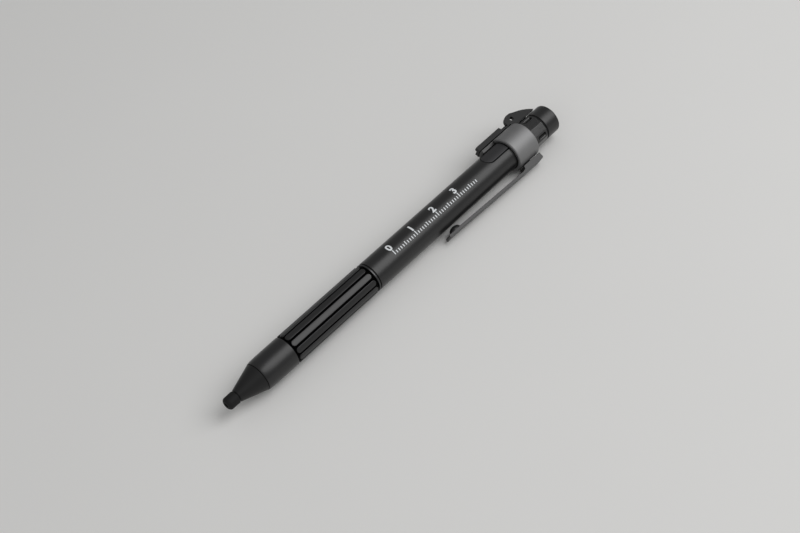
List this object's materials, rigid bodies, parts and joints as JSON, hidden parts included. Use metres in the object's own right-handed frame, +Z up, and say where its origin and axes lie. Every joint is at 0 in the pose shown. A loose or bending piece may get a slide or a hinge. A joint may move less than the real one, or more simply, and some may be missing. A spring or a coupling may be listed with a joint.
{
  "type": "multi tool pen",
  "caption": "Twist ball pen with a stylus nub, a torch with a push button in the tail, a sprung pocket clip and a flat bottle opener with a small lanyard hole.",
  "frame": {"origin": "middle of the pen's footprint, on the surface that the polished band rests on", "axes": "+Y runs along the pen from the writing end to the torch end, +Z is up with the torch button near the top, +X points to the clip's side"},
  "size_m": [0.0178, 0.147, 0.0127],
  "materials": {
    "satin_black": "satin black coated aluminium",
    "gloss_black": "glossy black coated aluminium",
    "dark_plate": "satin black coated steel",
    "nub_rubber": "matt black rubber",
    "button_matt": "matt black, fine lengthwise texture",
    "polished_band": "mirror polished",
    "grey_trim": "bare bright trim",
    "spring_steel": "plain steel",
    "cell_steel": "plain bright steel can",
    "brass": "plain brass",
    "inner_plastic": "natural moulded plastic",
    "board_green": "green circuit board",
    "led_lens": "clear dome over yellow phosphor",
    "clear_lens": "clear moulded lens"
  },
  "bodies": {
    "barrel": {"barrel": "satin_black", "twist_bush": "inner_plastic", "cam_guide": "inner_plastic", "bulkhead": "inner_plastic", "battery_spring": "spring_steel", "cell_1": "cell_steel", "cell_2": "cell_steel", "cell_3": "cell_steel", "contact_plate": "brass", "torch_carrier": "inner_plastic", "circuit_board": "board_green", "switch_body": "button_matt", "led_board": "board_green", "led": "led_lens", "clip_sleeve": "polished_band", "clip_pin": "spring_steel", "clip_spring": "spring_steel", "bottle_opener": "dark_plate", "opener_rivet_1": "spring_steel", "opener_rivet_2": "spring_steel", "collar": "gloss_black", "cap_seal": "nub_rubber"},
    "front_section": {"stylus_tip": "nub_rubber", "nose_cone": "satin_black", "grip_barrel": "satin_black", "trim_ring": "grey_trim", "twist_cam": "brass", "refill_spring": "spring_steel"},
    "refill": {"writing_ball": "spring_steel", "refill_tip": "brass", "refill_tube": "spring_steel", "refill_plug": "inner_plastic", "cam_follower": "inner_plastic", "follower_pin": "spring_steel"},
    "torch_button": {"torch_button": "button_matt", "switch_stem": "inner_plastic"},
    "clip": {"clip": "dark_plate"},
    "torch_head": {"reflector": "polished_band", "lens": "clear_lens"},
    "tail_cap": {"tail_cap": "satin_black"}
  },
  "joints": [
    {"name": "twist", "type": "hinge", "parent": "barrel", "child": "front_section", "pos_m": [0.0003, -0.0137, 0.00635], "axis": [0, 1, 0], "range_deg": [0, 180]},
    {"name": "refill_slide", "type": "slide", "parent": "barrel", "child": "refill", "axis": [0, -1, 0], "range_m": [0, 0.0045], "deforming": ["refill_spring"]},
    {"name": "button_press", "type": "slide", "parent": "barrel", "child": "torch_button", "axis": [0.1219, 0, -0.9925], "range_m": [0, 0.0005], "stiffness_N_per_m": 1500, "springref_m": -0.0005},
    {"name": "clip_open", "type": "hinge", "parent": "barrel", "child": "clip", "pos_m": [0.00641, 0.0576, 0.00282], "axis": [0.5, 0, 0.866], "range_deg": [0, 4.5], "stiffness_Nm_per_rad": 3},
    {"name": "torch_head_slide", "type": "slide", "parent": "barrel", "child": "torch_head", "axis": [0, 1, 0], "range_m": [0, 0.0024]},
    {"name": "cap_turn", "type": "hinge", "parent": "torch_head", "child": "tail_cap", "pos_m": [0.0003, 0.0735, 0.00635], "axis": [0, 1, 0], "range_deg": [0, 1440]}
  ],
  "couplings": [
    {"joint": "twist", "follows": "refill_slide", "rad_per_m": 698.13},
    {"joint": "cap_turn", "follows": "torch_head_slide", "rad_per_m": 10472}
  ]
}
